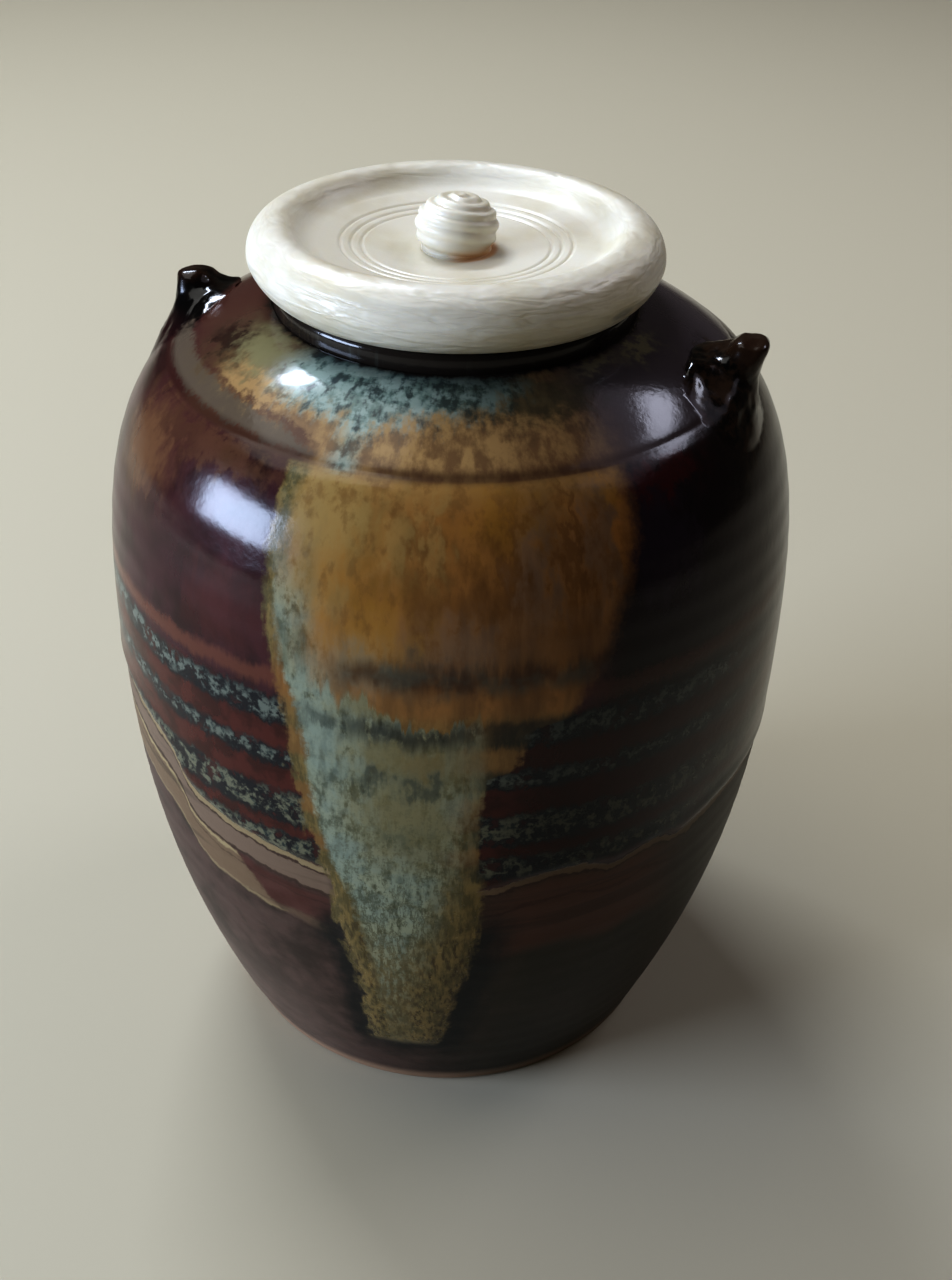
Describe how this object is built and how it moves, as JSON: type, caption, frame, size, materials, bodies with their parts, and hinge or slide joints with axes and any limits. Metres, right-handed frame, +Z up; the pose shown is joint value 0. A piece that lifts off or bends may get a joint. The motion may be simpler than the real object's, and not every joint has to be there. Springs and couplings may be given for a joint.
{
  "type": "ceramic tea caddy",
  "caption": "Small glazed stoneware tea caddy with shoulder lugs and a lift-off ivory-coloured turned lid with a ball knob.",
  "frame": {"origin": "centre of the flat underside", "axes": "+Z up through the knob, +X towards the right lug in the picture, turned 17 degrees towards -Y, which is the picture's side"},
  "size_m": [0.0664, 0.0664, 0.0891],
  "materials": {
    "glaze": "glossy dark red-brown glaze with amber panels and speckled pale blue-green ash runs, satin taupe foot",
    "ivory": "polished cream, ivory-coloured, with faint wavy grain and an amber tint at the knob's foot"
  },
  "bodies": {
    "root": {"caddy_body": "glaze", "lid": "ivory"}
  },
  "joints": []
}
